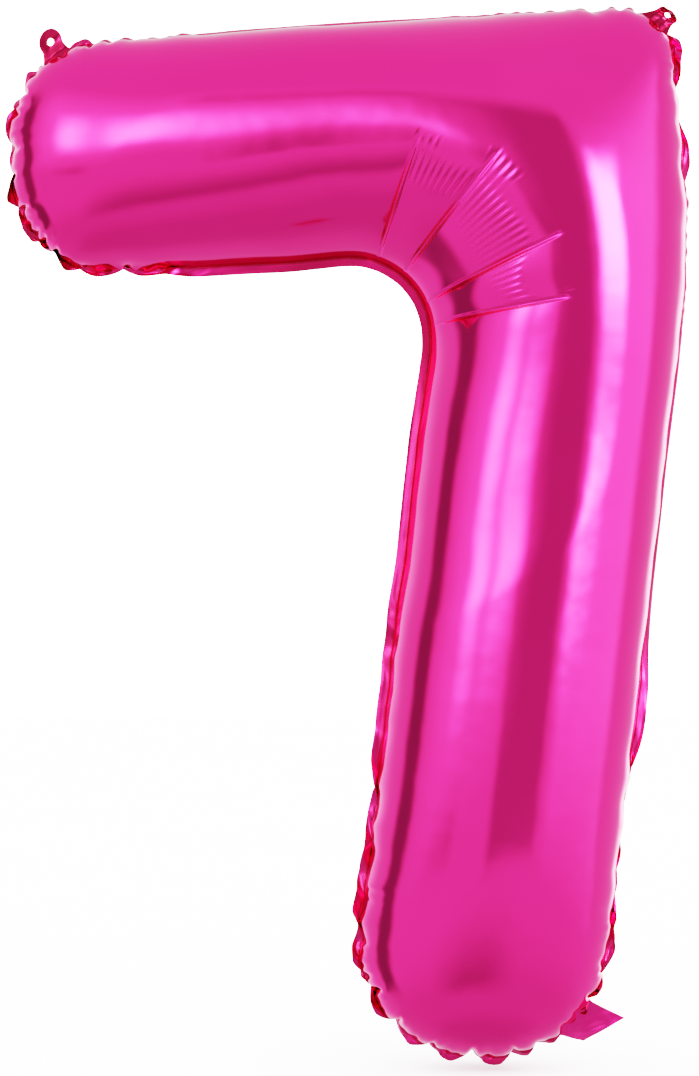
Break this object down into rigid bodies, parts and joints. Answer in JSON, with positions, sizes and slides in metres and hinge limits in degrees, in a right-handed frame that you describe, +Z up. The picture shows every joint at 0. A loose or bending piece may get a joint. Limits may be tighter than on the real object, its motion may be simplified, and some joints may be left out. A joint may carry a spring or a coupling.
{
  "type": "foil number balloon",
  "caption": "Inflated foil balloon in the shape of a numeral seven, with a sealed lip, hanging tabs, an inflation neck and a self-sealing valve.",
  "frame": {"origin": "on the numeral's baseline (lowest point of the sealed lip), midway across its width, in the plane of the seal", "axes": "+Z up the numeral, +X to the reader's right, -Y towards the reader (front panel)"},
  "size_m": [0.5602, 0.1998, 0.8668],
  "materials": {
    "foil_front": "metallised magenta film, mirror gloss",
    "foil_back": "metallised magenta film, mirror gloss",
    "seal": "fused film",
    "tab_foil": "metallised crimson film",
    "neck_foil": "metallised magenta film",
    "valve_film": "translucent polyethylene film",
    "release_print": "thin matt release ink"
  },
  "bodies": {
    "envelope": {"front_panel": "foil_front", "back_panel": "foil_back", "heat_seal_band": "seal", "valve_film_front": "valve_film", "valve_film_back": "valve_film", "valve_release_print": "release_print"},
    "left_tab": {"hang_tab_left": "tab_foil"},
    "right_tab": {"hang_tab_right": "tab_foil"},
    "neck": {"neck_front_ply": "neck_foil", "neck_back_ply": "neck_foil", "neck_seal_upper": "seal", "neck_seal_lower": "seal"}
  },
  "joints": [
    {"name": "left_tab_fold", "type": "hinge", "parent": "envelope", "child": "left_tab", "pos_m": [-0.23805, 0, 0.82178], "axis": [-0.8387, 0, -0.5446], "range_deg": [-90, 90], "stiffness_Nm_per_rad": 0.0004},
    {"name": "right_tab_fold", "type": "hinge", "parent": "envelope", "child": "right_tab", "pos_m": [0.25151, 0, 0.84824], "axis": [-0.7071, 0, 0.7071], "range_deg": [-90, 90], "stiffness_Nm_per_rad": 0.0004},
    {"name": "neck_fold", "type": "hinge", "parent": "envelope", "child": "neck", "pos_m": [0.18656, 0, 0.03879], "axis": [0.6561, 0, 0.7547], "range_deg": [-90, 90], "stiffness_Nm_per_rad": 0.0004}
  ]
}
